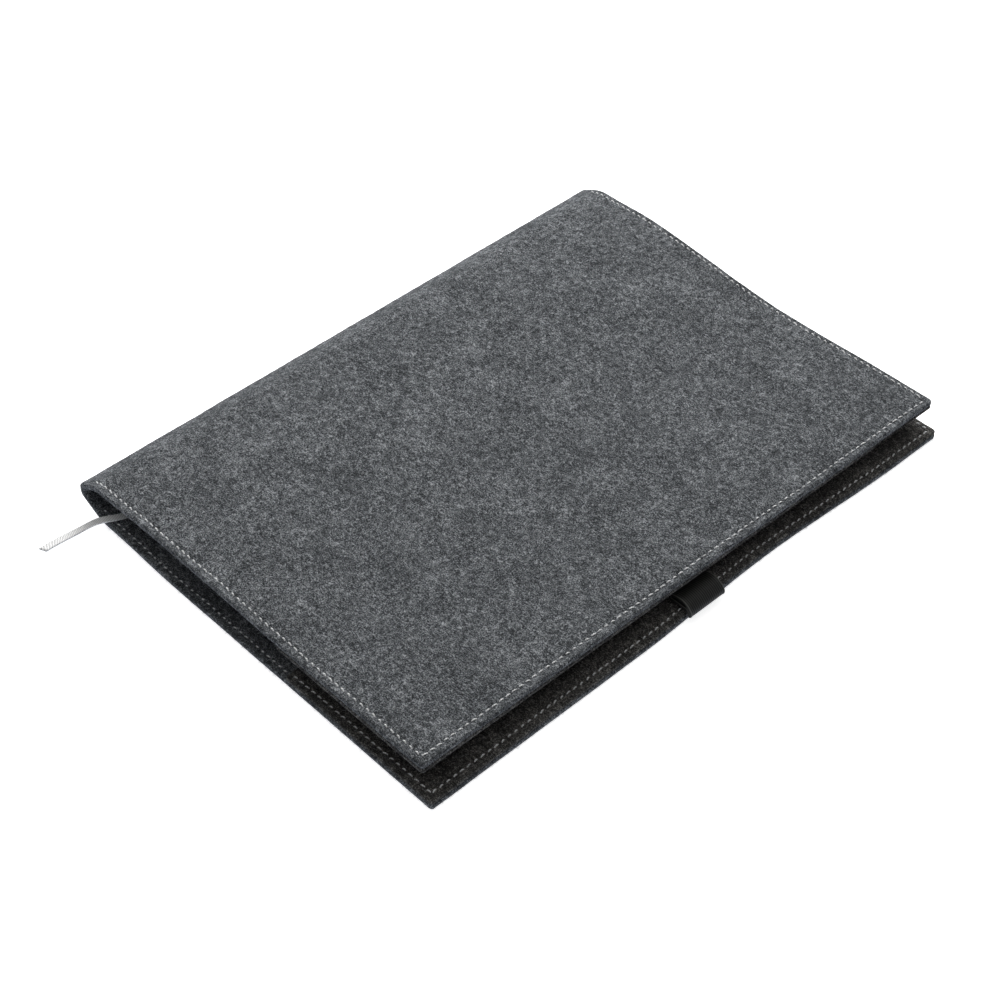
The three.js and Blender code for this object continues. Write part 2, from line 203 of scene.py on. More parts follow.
def woven_ribbon(route, width, thick, count):
    """A flat band along the route: its section, square to the route, is a thin oblong with rounded rims.
    The end is cut on the slant, by sliding each of its last points along in step with its place across."""
    way = through(route, count)
    tangent = np.gradient(way, axis=0)
    tangent /= np.linalg.norm(tangent, axis=1)[:, None]
    across = np.cross(tangent, (0, 0, 1))
    across /= np.linalg.norm(across, axis=1)[:, None]
    above = np.cross(across, tangent)
    side = np.array([-1, -0.93, -0.6, -0.2, 0.2, 0.6, 0.93, 1, 0.93, 0.6, 0.2, -0.2, -0.6, -0.93])
    high = np.array([0, 0.8, 0.85, 0.85, 0.85, 0.85, 0.8, 0, -0.8, -0.85, -0.85, -0.85, -0.85, -0.8])
    high = high + 0.45 * (np.abs(side) > 0.9) * np.sign(high)
    points = (
        way[:, None]
        + across[:, None] * (side * width / 2)[None, :, None]
        + above[:, None] * (high * thick / 2)[None, :, None]
    )
    slant = smooth((np.arange(count) - count + 1 + CUT_STEPS) / CUT_STEPS)[:, None, None]
    points += tangent[:, None] * (side * width * CUT_SLANT)[None, :, None] * slant
    length = np.r_[0, np.cumsum(np.linalg.norm(np.diff(way, axis=0), axis=1))]
    piece = mesh_piece("ribbon", points.reshape(-1, 3), tube_faces(count, len(side)))
    put_attribute(piece, "along", np.repeat(length, len(side)))
    put_attribute(piece, "across", np.tile(side * width / 2, count))
    return face_outwards(piece), way


def new_material(name):
    """An empty node material: its nodes, links and Principled shader, already wired to the output."""
    made = bpy.data.materials.new(name)
    made.use_nodes = True
    nodes = made.node_tree.nodes
    nodes.clear()
    shader = nodes.new("ShaderNodeBsdfPrincipled")
    output = nodes.new("ShaderNodeOutputMaterial")
    made.node_tree.links.new(shader.outputs[0], output.inputs[0])
    return made, nodes, made.node_tree.links, shader


def maths(nodes, links, operation, *values):
    """A Math node with each input either a number or another node's output."""
    node = nodes.new("ShaderNodeMath")
    node.operation = operation
    for socket, value in zip(node.inputs, values):
        if isinstance(value, (int, float)):
            socket.default_value = value
        else:
            links.new(value, socket)
    return node.outputs[0]


def ramp(nodes, links, value, *stops):
    """A colour ramp over a value, from pairs of place and colour."""
    node = nodes.new("ShaderNodeValToRGB")
    band = node.color_ramp
    while len(band.elements) < len(stops):
        band.elements.new(0.5)
    for element, (place, colour) in zip(band.elements, stops):
        element.position = place
        element.color = (*colour, 1)
    links.new(value, node.inputs[0])
    return node.outputs[0]


def attribute(nodes, name):
    """The number that a mesh holds for each point under that name."""
    node = nodes.new("ShaderNodeAttribute")
    node.attribute_name = name
    return node.outputs["Fac"]


def ribbon_satin():
    """Pale threads in a twill: a sine of length plus width gives the slanting cords, and another across
    them breaks each cord into stitches."""
    made, nodes, links, shader = new_material("ribbon_satin")
    along, across = attribute(nodes, "along"), attribute(nodes, "across")
    slant = maths(nodes, links, "MULTIPLY_ADD", across, 0.9, along)
    cords = maths(nodes, links, "SINE", maths(nodes, links, "MULTIPLY", slant, 2 * math.pi / TWILL_PITCH))
    picks = maths(nodes, links, "SINE", maths(nodes, links, "MULTIPLY", along, 2 * math.pi / PICK_PITCH))
    weave = maths(nodes, links, "MULTIPLY_ADD", picks, 0.35, cords)
    shade = maths(nodes, links, "MULTIPLY_ADD", weave, 0.3, 0.5)
    colour = ramp(nodes, links, shade, (0.15, (0.62, 0.62, 0.615)), (0.6, (0.97, 0.97, 0.96)))
    links.new(colour, shader.inputs["Base Color"])
    bump = nodes.new("ShaderNodeBump")
    bump.inputs["Strength"].default_value = 0.5
    bump.inputs["Distance"].default_value = 0.00012
    links.new(weave, bump.inputs["Height"])
    links.new(bump.outputs[0], shader.inputs["Normal"])
    shader.inputs["Roughness"].default_value = 0.42
    shader.inputs["Sheen Weight"].default_value = 0.3
    return made


ribbon, ribbon_way = woven_ribbon(ribbon_route, RIBBON_WIDTH, RIBBON_THICK, count=260)
ribbon.data.materials.append(ribbon_satin())
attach(ribbon, "back_board")
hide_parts("ribbon_bookmark")

# ---------------------------------------------------------------- outer felt
# One sheet of thick grey wool felt, die-cut, runs from free edge to free edge round the soft spine.
# It turns at four hinge lines, and is shown in four lengths that meet between those lines.
FELT = 0.0024
LIFT, LIFT_WIDTH = 0.0017, 0.036
SOFT_TURN = 0.012
NOSE_TURN = 0.004477
STRAIGHT_LOW, STRAIGHT_HIGH = 0.004733, 0.003155
TURNS = np.radians([30, 60, 60, 30])
FOOT_SWELL, HEAD_SWELL, FOOT_DROP, HEAD_DIP, HEAD_RETURN = 0.001, 0.0007, 0.0009, 0.005, 0.0016
SEAM_INSET = 0.003
CORNER, RIM_ROUND = 0.0016, 0.0007
EDGE_WAVE, WAVE_CENTRE, WAVE_SPAN = 0.0022, 0.035, 0.068
half_length = (head_y - foot_y) / 2
back_free, front_free = back_high.x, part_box("front_felt")[1].x
turn_starts = np.cumsum([0, SOFT_TURN + STRAIGHT_LOW, NOSE_TURN, NOSE_TURN + STRAIGHT_HIGH])
turn_lengths = np.array([SOFT_TURN, NOSE_TURN, NOSE_TURN, SOFT_TURN])
fold_length = turn_starts[3] + SOFT_TURN
fold_steps = np.linspace(0, fold_length, 801)
headings = (TURNS * smooth((fold_steps[:, None] - turn_starts) / turn_lengths)).sum(1)
middle = (headings[1:] + headings[:-1]) / 2
step = fold_steps[1]
fold_x = np.r_[0, np.cumsum(-np.cos(middle) * step)]
fold_z = np.r_[0, np.cumsum(np.sin(middle) * step)] + LIFT
fold_x += nose_x - fold_x.min()
back_turn_x, front_turn_x = fold_x[0], fold_x[-1]
front_run = front_free - front_turn_x


def wavy_edge(y):
    """Free edge of the back board: straight, pulled in by one smooth wave beside the pen loop."""
    return back_free - EDGE_WAVE * (1 - smooth(np.abs((y - WAVE_CENTRE) / WAVE_SPAN)))


def front_height(x, y):
    """Height of the front board's outer face: a swell by the spine, a dip across the head end and a
    nearly level foot end, mixed evenly from foot to head."""
    share = (x - front_turn_x) / front_run
    swell = smooth(share / 0.14)
    foot = FOOT_SWELL * swell - FOOT_DROP * smooth((share - 0.33) / 0.25)
    head = (
        HEAD_SWELL * swell
        - HEAD_DIP * smooth((share - 0.11) / 0.46)
        + HEAD_RETURN * smooth((share - 0.58) / 0.37)
    )
    return fold_z[-1] + foot + (head - foot) * (0.5 + y / (2 * half_length))


def outer_face(s, y):
    """x and z of the felt's outer face. s is felt length from where the back board starts to turn up:
    below 0 it is the back board, up to fold_length the spine, and past that the front board."""
    s, y = np.broadcast_arrays(s, y)
    back_share = -s / (back_free - back_turn_x)
    back_x = back_turn_x + back_share * (wavy_edge(y) - back_turn_x)
    back_z = LIFT * smooth((LIFT_WIDTH + s) / LIFT_WIDTH)
    front_x = front_turn_x + s - fold_length
    on_back, on_front = s < 0, s > fold_length
    x = np.where(on_back, back_x, np.where(on_front, front_x, np.interp(s, fold_steps, fold_x)))
    front_z = front_height(front_x, y)
    z = np.where(on_back, back_z, np.where(on_front, front_z, np.interp(s, fold_steps, fold_z)))
    return x, z


def in_felt(s, y, depth):
    """The point at felt length s and at y, a depth inwards from the outer face, square to that face."""
    reach = 0.0002
    s, y, depth = np.broadcast_arrays(s, y, depth)
    x, z = outer_face(s, y)
    (x0, z0), (x1, z1) = outer_face(s - reach, y), outer_face(s + reach, y)
    dx, dz = x1 - x0, z1 - z0
    size = np.hypot(dx, dz)
    return np.stack([x + dz / size * depth, y, z - dx / size * depth], axis=-1)


def refined(low, high, fine_near, coarse, fine, reach):
    """Places from low to high, coarse apart, and fine apart within reach of each place in fine_near."""
    walk = np.linspace(low, high, 4001)
    away = np.min(np.abs(walk[:, None] - np.asarray(fine_near)), axis=1)
    rate = 1 / (fine + (coarse - fine) * smooth((away - reach) / (2 * reach)))
    grown = np.r_[0, np.cumsum((rate[1:] + rate[:-1]) / 2 * (walk[1] - walk[0]))]
    count = int(math.ceil(grown[-1]))
    return np.interp(np.linspace(0, grown[-1], count + 1), grown, walk)


def ripple(s, y, seed, size, height):
    """Slow unevenness of soft felt: the mean of eight slanting sines, each about that size from crest to
    crest, times the height."""
    chance = np.random.default_rng(seed)
    total = np.zeros(np.broadcast(s, y).shape)
    waves = 8
    for _ in range(waves):
        turn, phase = chance.uniform(0, math.pi), chance.uniform(0, 2 * math.pi)
        pitch = size * chance.uniform(0.6, 1.6)
        total += np.sin((s * math.cos(turn) + y * math.sin(turn)) * 2 * math.pi / pitch + phase)
    return total / waves * height


STITCH_PITCH = 0.00295
POCKET_DEPTH = 0.072
FOOT_INSET, HEAD_INSET = 0.0028, 0.0021
FREE_INSET, INSET_DRIFT = 0.0028, 0.00045
GROOVE_DEPTH, GROOVE_WIDTH = 0.00032, 0.0008
PUCKER_DEPTH, PUCKER_WIDTH = 0.00022, 0.0024
ROW_END_FADE = 0.002


def guided(t, seed):
    """How far a hand-guided row strays at places t along it: a sum of three slow sines of chance phase."""
    strays, pitches = (0.00013, 0.00008, 0.00005), (0.083, 0.037, 0.019)
    phases = np.random.default_rng(seed).uniform(0, 2 * math.pi, 3)
    waves = zip(strays, pitches, phases)
    return sum(stray * np.sin(t * 2 * math.pi / pitch + phase) for stray, pitch, phase in waves)


def free_inset(y):
    """Distance of the long row from the free edge: wider at the foot end than at the head end."""
    return FREE_INSET - INSET_DRIFT * y / half_length + guided(y, 3)


def side_row(s, end):
    """|y| of the row along the foot edge, for end -1, or along the head edge, for end 1."""
    inset = FOOT_INSET if end < 0 else HEAD_INSET
    return half_length - inset - guided(s, 5 + end)


def seam_press(s, y, edge_s, inwards, start, end):
    """How far a row of stitches pulls the face in: a groove along the row, a bell curve across it and
    deeper at each needle hole, within a wider and shallower pucker. The long row follows the board's free
    edge at edge_s, and the side rows run from start to end."""
    free = np.abs(s - edge_s - inwards * free_inset(y))
    foot_row = np.abs(y + side_row(s, -1))
    head_row = np.abs(y - side_row(s, 1))
    side = np.minimum(foot_row, head_row)
    on_side = smooth((s - start) / ROW_END_FADE) * smooth((end - s) / ROW_END_FADE)
    on_free = smooth((seam_y - np.abs(y)) / ROW_END_FADE + 1)
    holes_side = 0.5 + 0.5 * np.cos(2 * math.pi * s / STITCH_PITCH)
    holes_free = 0.5 + 0.5 * np.cos(2 * math.pi * y / STITCH_PITCH)
    groove_side = (0.6 + 0.4 * holes_side) * np.exp(-((side / GROOVE_WIDTH) ** 2))
    groove_free = (0.6 + 0.4 * holes_free) * np.exp(-((free / GROOVE_WIDTH) ** 2))
    pucker_side = np.exp(-((side / PUCKER_WIDTH) ** 2))
    pucker_free = np.exp(-((free / PUCKER_WIDTH) ** 2))
    side_press = (GROOVE_DEPTH * groove_side + PUCKER_DEPTH * pucker_side) * on_side
    free_press = (GROOVE_DEPTH * groove_free + PUCKER_DEPTH * pucker_free) * on_free
    return np.maximum(side_press, free_press)


def sheet_faces(columns, rows):
    """Quads of a closed sheet over a grid: its upper and lower faces, and a wall round the rim."""
    i, j = np.meshgrid(np.arange(columns - 1), np.arange(rows - 1), indexing="ij")
    a = (i * rows + j).ravel()
    top = np.stack([a, a + rows, a + rows + 1, a + 1], axis=1)
    bottom = top[:, ::-1] + columns * rows
    rim = np.r_[
        np.arange(columns - 1) * rows,
        (columns - 1) * rows + np.arange(rows - 1),
        (np.arange(columns - 1, 0, -1)) * rows + rows - 1,
        np.arange(rows - 1, 0, -1),
    ]
    after = np.roll(rim, -1)
    wall = np.stack([rim, rim + columns * rows, after + columns * rows, after], axis=1)
    return np.vstack([top, bottom, wall])


def felt_sheet(name, s, y, near, far, rounds, shape):
    """A sheet of felt on a grid of s and y, between two depths. Its rims are rounded by a quarter circle on
    both faces, and its corners by another, at the ends of s named in rounds and at both ends of y.
    shape(s, y) gives how far each face is pushed in."""
    low_end, high_end = rounds
    grid_s, grid_y = np.meshgrid(s, y, indexing="ij")
    inside = np.full(grid_s.shape, np.inf)
    if low_end:
        inside = np.minimum(inside, grid_s - s[0])
    if high_end:
        inside = np.minimum(inside, s[-1] - grid_s)
    from_corner = np.clip(1 - inside / CORNER, 0, 1)
    half = half_length - CORNER * (1 - np.sqrt(1 - from_corner**2))
    grid_y = grid_y / half_length * half
    rim = np.minimum(inside, half - np.abs(grid_y))
    dip = RIM_ROUND * (1 - np.sqrt(1 - np.clip(1 - rim / RIM_ROUND, 0, 1) ** 2))
    push_near, push_far = shape(grid_s, grid_y)
    upper = in_felt(grid_s, grid_y, near + dip + push_near)
    lower = in_felt(grid_s, grid_y, far - dip - push_far)
    points = np.concatenate([upper.reshape(-1, 3), lower.reshape(-1, 3)])
    return face_outwards(mesh_piece(name, points, sheet_faces(*grid_s.shape)))


back_edge_s = -(back_free - back_turn_x)
front_edge_s = fold_length + front_run
hinge_s = turn_starts + turn_lengths / 2
cuts = [back_edge_s, (hinge_s[0] + hinge_s[1]) / 2, (hinge_s[1] + hinge_s[2]) / 2]
cuts += [(hinge_s[2] + hinge_s[3]) / 2, front_edge_s]
seam_y = half_length - SEAM_INSET
fine_y = [-half_length, FOOT_INSET - half_length, half_length - HEAD_INSET, half_length]
FINE_REACH = 0.0014
y_lines = refined(-half_length, half_length, fine_y, 0.0022, 0.00033, FINE_REACH)
PINCH, PINCH_WIDTH = 0.0007, 0.008
SEAM_FADE, NAP = 0.012, 0.00005


def pinch(s, y, edge_s, far_s):
    """How far sewing has pressed the layers together near a board's three sewn edges: most at the edge,
    smoothly nothing a pinch width inside it, and more at the head than at the foot. Past the pocket it
    fades to a quarter towards far_s, the board's end at the spine."""
    from_free = np.abs(s - edge_s)
    from_side = half_length - np.abs(y)
    near = np.maximum(1 - smooth(from_free / PINCH_WIDTH), 1 - smooth(from_side / PINCH_WIDTH))
    fade = smooth(1 - (from_free - POCKET_DEPTH) / (abs(far_s - edge_s) - POCKET_DEPTH))
    return PINCH * near * (0.25 + 0.75 * fade) * (0.65 + 0.35 * y / half_length)


def outer_shape(s, y):
    """How far the outer felt's two faces are pushed in: seam grooves on both, slow waves on the outside
    with a little of the pinch on the front board, and small lumps that go right through."""
    front_seam, back_seam = front_edge_s - SEAM_INSET, back_edge_s + SEAM_INSET
    front_press = seam_press(s, y, front_edge_s, -1, fold_length - SEAM_FADE, front_seam)
    back_press = seam_press(s, y, back_edge_s, 1, back_seam, SEAM_FADE)
    waves = ripple(s, y, 5, 0.024, 0.00016) + ripple(s, y, 8, 0.007, 0.00007)
    lumps = ripple(s, y, 11, 0.0028, 0.00006)
    on_front = smooth((s - fold_length + SEAM_FADE) / SEAM_FADE)
    pinched = pinch(s, y, front_edge_s, fold_length) * on_front * 0.15
    pressed = front_press + back_press
    return pressed + pinched + waves + lumps, pressed * 0.6 - NAP - lumps


def wool_felt(name, dark, mid, light, fleck):
    """Mottled grey melange wool. Its tone is a sum of soft noise at three sizes, plus single light fibres
    and less dark gaps, both ridges of stretched noise. The nap is fine bump and a little sheen."""
    made, nodes, links, shader = new_material(name)
    place = nodes.new("ShaderNodeTexCoord").outputs["Object"]

    def noise(scale, detail, rough, stretch=None, turn=(0, 0, 0), curl=0.0):
        mapping = nodes.new("ShaderNodeMapping")
        mapping.inputs["Rotation"].default_value = turn
        mapping.inputs["Scale"].default_value = stretch or (1, 1, 1)
        links.new(place, mapping.inputs[0])
        node = nodes.new("ShaderNodeTexNoise")
        node.inputs["Scale"].default_value = scale
        node.inputs["Detail"].default_value = detail
        node.inputs["Roughness"].default_value = rough
        node.inputs["Distortion"].default_value = curl
        links.new(mapping.outputs[0], node.inputs["Vector"])
        return node.outputs["Fac"]

    clouds = noise(60, 3, 0.5)
    blotches = noise(430, 4, 0.6)
    grains = noise(2100, 2, 0.7)

    def strand(scale, stretch, turn, sharp):
        """Thin curly lines: where a stretched, curled noise passes its middle value."""
        field = noise(scale, 1, 0.4, stretch, (0.3, 0.2, turn), 1.3)
        away = maths(nodes, links, "ABSOLUTE", maths(nodes, links, "SUBTRACT", field, 0.5), 0.0)
        line = maths(nodes, links, "MULTIPLY_ADD", away, -sharp, 1.0)
        line.node.use_clamp = True
        return line

    strands = strand(640, (1, 0.45, 1), 0.5, 17)
    strands = maths(nodes, links, "MAXIMUM", strands, strand(700, (0.45, 1, 1), 0.9, 17))
    strands = maths(nodes, links, "MAXIMUM", strands, strand(560, (0.4, 1, 1), -0.3, 17))
    gaps = strand(760, (1, 0.5, 1), 2.0, 12)
    gaps = maths(nodes, links, "MAXIMUM", gaps, strand(680, (0.5, 1, 1), 2.6, 12))
    tone = maths(nodes, links, "MULTIPLY_ADD", maths(nodes, links, "SUBTRACT", blotches, 0.5), 1.1, 0.39)
    tone = maths(nodes, links, "MULTIPLY_ADD", maths(nodes, links, "SUBTRACT", clouds, 0.5), 0.4, tone)
    tone = maths(nodes, links, "MULTIPLY_ADD", maths(nodes, links, "SUBTRACT", grains, 0.5), 2.6, tone)
    tone = maths(nodes, links, "MULTIPLY_ADD", gaps, -0.26, tone)
    tone = maths(nodes, links, "MULTIPLY_ADD", strands, 0.46, tone)
    colour = ramp(nodes, links, tone, (0.1, dark), (0.45, mid), (0.75, light), (1.0, fleck))
    links.new(colour, shader.inputs["Base Color"])
    height = maths(nodes, links, "MULTIPLY_ADD", grains, 0.6, maths(nodes, links, "MULTIPLY", strands, 0.5))
    height = maths(nodes, links, "MULTIPLY_ADD", blotches, 0.9, height)
    bump = nodes.new("ShaderNodeBump")
    bump.inputs["Strength"].default_value = 0.75
    bump.inputs["Distance"].default_value = 0.0005
    links.new(height, bump.inputs["Height"])
    links.new(bump.outputs[0], shader.inputs["Normal"])
    shader.inputs["Roughness"].default_value = 0.93
    shader.inputs["Specular IOR Level"].default_value = 0.2
    shader.inputs["Sheen Weight"].default_value = 0.1
    shader.inputs["Sheen Roughness"].default_value = 0.45
    shader.inputs["Sheen Tint"].default_value = (0.86, 0.92, 1.0, 1)
    return made


outer_felt_wool = wool_felt(
    "outer_felt",
    (0.022, 0.024, 0.026),
    (0.085, 0.091, 0.097),
    (0.175, 0.186, 0.198),
    (0.40, 0.415, 0.43),
)
felt_lengths = [
    ("back_board_felt", ("back_board", "spine_lower"), 0, ["back_felt", "spine_felt_lower"]),
    ("spine_felt_low", ("spine_lower", "spine_nose"), 1, ["spine_felt_nose"]),
    ("spine_felt_high", ("spine_nose", "spine_upper"), 2, []),
    ("front_board_felt", ("spine_upper", "front_board"), 3, ["front_felt", "spine_felt_upper"]),
]
near_seam, least_gap = 0.0027, 0.0001
fine_s = [back_edge_s, back_edge_s + near_seam, front_edge_s - near_seam, front_edge_s]
fine_s += list(np.linspace(0, fold_length, 9))
all_s = refined(back_edge_s, front_edge_s, fine_s, 0.0021, 0.00034, FINE_REACH)


def blend_at_hinge(piece, index):
    """Bakes the piece's placement into its mesh; it also finds the ends of the felt length that turns at
    that hinge, which nothing uses.
    """
    turn_ends = hinge_s[index] + turn_lengths[index] * np.array([-0.5, 0.5])
    at = in_felt(turn_ends, 0.0, 0.0)
    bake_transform(piece)


for name, bodies, index, nodes_stood_for in felt_lengths:
    low, high = cuts[index], cuts[index + 1]
    between = all_s[(all_s > low + least_gap) & (all_s < high - least_gap)]
    piece_s = np.r_[low, between, high]
    rounds = (index == 0, index == 3)
    piece = felt_sheet(name, piece_s, y_lines, 0.0, FELT, rounds, outer_shape)
    piece.data.materials.append(outer_felt_wool)
    blend_at_hinge(piece, index)
    if nodes_stood_for:
        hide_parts(*nodes_stood_for)

# ---------------------------------------------------------------- loose wool
# Fibres that have worked out of the felt: short curly hairs that bow up from its faces and stick out
# past its cut edges. Each is a very thin thread, darker or lighter as the wool is blended.
HAIR = 0.000028
ROOT_DEPTH = 0.00004
FACE_HAIR, RIM_HAIR = (0.0012, 0.0034), (0.0007, 0.0015)
RIM_MARGIN, FREE_MARGIN = 0.0003, 0.0012
RIM_FAN, RIM_STRAY = 0.6, 0.0001


def loose_hairs(name, s, y, depth, outwards, heading, rise, length, seed):
    """One mesh of many three-sided hairs. A hair starts at its (s, y, depth) and runs along the sheet, its
    heading turning steadily; its height off the face is a bow, 4t(1-t), plus a free end, t squared."""
    chance = np.random.default_rng(seed)
    count = len(s)
    t = np.linspace(0, 1, 4)[None, :]
    curl = chance.normal(0, 1.1, count)[:, None]
    angle = heading[:, None] + curl * (t - 0.3)
    run = length[:, None] / 3 * np.array([0, 1, 1, 1])[None, :]
    path_s = s[:, None] + np.cumsum(np.cos(angle) * run, axis=1)
    path_y = y[:, None] + np.cumsum(np.sin(angle) * run, axis=1)
    bow, end = chance.uniform(0.2, 1, (2, count))
    height = rise[:, None] * (bow[:, None] * 4 * t * (1 - t) + end[:, None] * t**2)
    height -= ROOT_DEPTH * (t < 0.1)
    path_depth = depth[:, None] - outwards * height
    around = np.array([0.5, 2.6, 4.7])
    taper = np.array([1, 1, 0.9, 0.35])[None, :, None]
    thick = HAIR * chance.uniform(0.7, 1.25, count)[:, None, None] * taper
    aside, off = thick * np.cos(around), thick * np.sin(around)
    point_s = path_s[..., None] - np.sin(angle)[..., None] * aside
    point_y = path_y[..., None] + np.cos(angle)[..., None] * aside
    points = in_felt(point_s, point_y, path_depth[..., None] + off)
    ring, k = np.meshgrid(np.arange(3), np.arange(3), indexing="ij")
    a, b = (ring * 3 + k).ravel(), (ring * 3 + (k + 1) % 3).ravel()
    walls = np.concatenate([np.stack([a, b, b + 3], axis=1), np.stack([a, b + 3, a + 3], axis=1)])
    block = np.concatenate([walls, [[2, 1, 0], [9, 10, 11]]])
    faces = (block[None] + (np.arange(count) * 12)[:, None, None]).reshape(-1, 3)
    piece = mesh_piece(name, points.reshape(-1, 3), faces)
    put_attribute(piece, "tone", np.repeat(chance.uniform(0, 1, count), 12))
    return face_outwards(piece)


def loose_wool():
    """Single wool hairs: some near black, most mid grey and a few nearly white, each one colour."""
    made, nodes, links, shader = new_material("loose_wool")
    tone = attribute(nodes, "tone")
    black, grey, white = (0.03, 0.032, 0.034), (0.16, 0.168, 0.175), (0.62, 0.63, 0.64)
    colour = ramp(nodes, links, tone, (0, black), (0.5, grey), (1, white))
    links.new(colour, shader.inputs["Base Color"])
    shader.inputs["Roughness"].default_value = 0.7
    shader.inputs["Specular IOR Level"].default_value = 0.3
    return made


hair_wool = loose_wool()


def face_hairs(chance, low, high, count, rise):
    """Places, headings and rises of hairs strewn evenly over a length of sheet."""
    s = chance.uniform(low, high, count)
    y = chance.uniform(-half_length + 0.0015, half_length - 0.0015, count)
    return s, y, chance.uniform(0, 2 * math.pi, count), chance.gamma(2.0, rise / 2, count)


def rim_hairs(chance, low, high, per_metre):
    """Places and headings of hairs that leave the cut foot and head edges of a length of sheet."""
    count = int((high - low) * 2 * per_metre)
    s = chance.uniform(low, high, count)
    end = chance.choice([-1, 1], count)
    heading = end * math.pi / 2 + chance.normal(0, RIM_FAN, count)
    return s, end * (half_length - 0.0004), heading


hair_counts = (4200, 800, 800, 7600)
hair_rises = (0.00004, 0.00013, 0.00013, 0.00013)
FREE_EDGE_HAIRS, HAIRS_PER_METRE = 750, 3000
for (name, bodies, index, _), count, rise_size in zip(felt_lengths, hair_counts, hair_rises):
    chance = np.random.default_rng(70 + index)
    low, high = cuts[index] + CORNER, cuts[index + 1] - CORNER
    s, y, heading, rise = face_hairs(chance, low, high, count, rise_size)
    rim_s, rim_y, rim_heading = rim_hairs(chance, low, high, HAIRS_PER_METRE)
    depth = np.zeros(count)
    rim_depth = chance.uniform(RIM_MARGIN, FELT - RIM_MARGIN, len(rim_s))
    if index in (0, 3):
        more = FREE_EDGE_HAIRS
        free_y = chance.uniform(-half_length + 0.001, half_length - 0.001, more)
        edge_s = low - FREE_MARGIN if index == 0 else high + FREE_MARGIN
        outwards = math.pi if index == 0 else 0
        rim_s = np.r_[rim_s, np.full(more, edge_s)]
        rim_y = np.r_[rim_y, free_y]
        rim_heading = np.r_[rim_heading, outwards + chance.normal(0, RIM_FAN, more)]
        rim_depth = np.r_[rim_depth, chance.uniform(RIM_MARGIN, FELT - RIM_MARGIN, more)]
    rim_rise = chance.normal(0, RIM_STRAY, len(rim_s))
    face_length = chance.uniform(*FACE_HAIR, count)
    rim_length = chance.uniform(*RIM_HAIR, len(rim_s))
    hairs = loose_hairs(
        "hairs_" + name,
        np.r_[s, rim_s],
        np.r_[y, rim_y],
        np.r_[depth, rim_depth],
        1.0,
        np.r_[heading, rim_heading],
        np.r_[rise, rim_rise],
        np.r_[face_length, rim_length],
        90 + index,
    )
    hairs.data.materials.append(hair_wool)
    blend_at_hinge(hairs, index)

# ---------------------------------------------------------------- pocket flaps
# Two thinner felt flaps lie on the insides of the boards and are sewn down along three edges. A
# tablet's cover or papers slip in behind them from the spine side.
FLAP_FELT = 0.0019
FLAP_GAP, FLAP_SETTLE = 0.0003, 0.00022
FLAP_HAIRS, FLAP_HAIR = 3200, (0.0012, 0.0032)
flap_under = FELT + FLAP_GAP
flap_face = flap_under + FLAP_FELT


def flap_piece(name, edge_s, mouth_s, board_end, body, node, seed):
    """A flap's sheet and its loose hairs. It lies against the outer felt, pushed in at the stitches and
    near its sewn edges, with slow waves and small lumps on its seen face."""
    low, high = sorted((edge_s, mouth_s))
    seam_s = edge_s + math.copysign(SEAM_INSET, mouth_s - edge_s)
    places = refined(low, high, [low, high, seam_s], 0.0024, 0.0004, 0.0018)

    def shape(s, y):
        inwards = math.copysign(1, mouth_s - edge_s)
        press = seam_press(s, y, edge_s, inwards, min(seam_s, mouth_s), max(seam_s, mouth_s))
        lumps = ripple(s, y, 21, 0.0028, 0.00006) + ripple(s, y, 22, 0.02, 0.00012)
        return np.full_like(press, -FLAP_SETTLE), press + lumps + pinch(s, y, edge_s, board_end)

    piece = felt_sheet(name, places, y_lines, flap_under, flap_face, (True, True), shape)
    piece.data.materials.append(flap_wool_painted_shade)
    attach(piece, body)
    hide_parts(node)
    chance = np.random.default_rng(seed)
    s, y, heading, rise = face_hairs(chance, low + 0.0014, high - 0.0014, FLAP_HAIRS, 0.00012)
    top = flap_face - pinch(s, y, edge_s, board_end)
    length = chance.uniform(*FLAP_HAIR, FLAP_HAIRS)
    hairs = loose_hairs("hairs_" + name, s, y, top, -1.0, heading, rise, length, seed + 1)
    hairs.data.materials.append(hair_wool)
    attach(hairs, body)


# Painted shade: the flaps are the same grey felt as the outside. Their colours are made darker and warmer
# to stand in for the shade in the gap under the boards.
flap_wool_painted_shade = wool_felt(
    "flap_felt",
    (0.012, 0.0112, 0.010),
    (0.051, 0.0488, 0.0445),
    (0.120, 0.116, 0.108),
    (0.30, 0.29, 0.27),
)
flap_piece(
    "back_flap",
    back_edge_s,
    back_edge_s + POCKET_DEPTH,
    0.0,
    "back_board",
    "back_pocket_flap",
    110,
)
flap_piece(
    "front_flap",
    front_edge_s,
    front_edge_s - POCKET_DEPTH,
    fold_length,
    "front_board",
    "front_pocket_flap",
    120,
)

# ---------------------------------------------------------------- stitches
# Each board is topstitched about 3 mm from its edges in pale grey polyester thread. Every stitch is a short
# length of twisted thread that dips into its needle hole at both ends, on the outside and the inside.
THREAD = 0.00058
STITCH = 0.00195
STITCH_SLANT, PLY_PITCH = 0.16, 0.0009
PROUD, HOLE_DEPTH = 0.0001, 0.0005
ROW_REACH = 0.009


def stitch_rows(edge_s, inwards, end):
    """Middles of one board's stitches, a stitch pitch apart, and which way each runs: along the foot edge,
    up beside the free edge and back along the head edge."""
    run = np.arange(-half_length + FOOT_INSET + 0.0014, half_length - HEAD_INSET - 0.0008, STITCH_PITCH)
    start = edge_s + inwards * (SEAM_INSET + STITCH_PITCH * 0.42)
    low, high = sorted((start, end))
    side = np.arange(low, high, STITCH_PITCH)
    s = np.r_[side, edge_s + inwards * free_inset(run), side]
    y = np.r_[-side_row(side, -1), run, side_row(side, 1)]
    along_s = np.r_[np.ones(len(side)), np.zeros(len(run)), np.ones(len(side))]
    return s, y, along_s


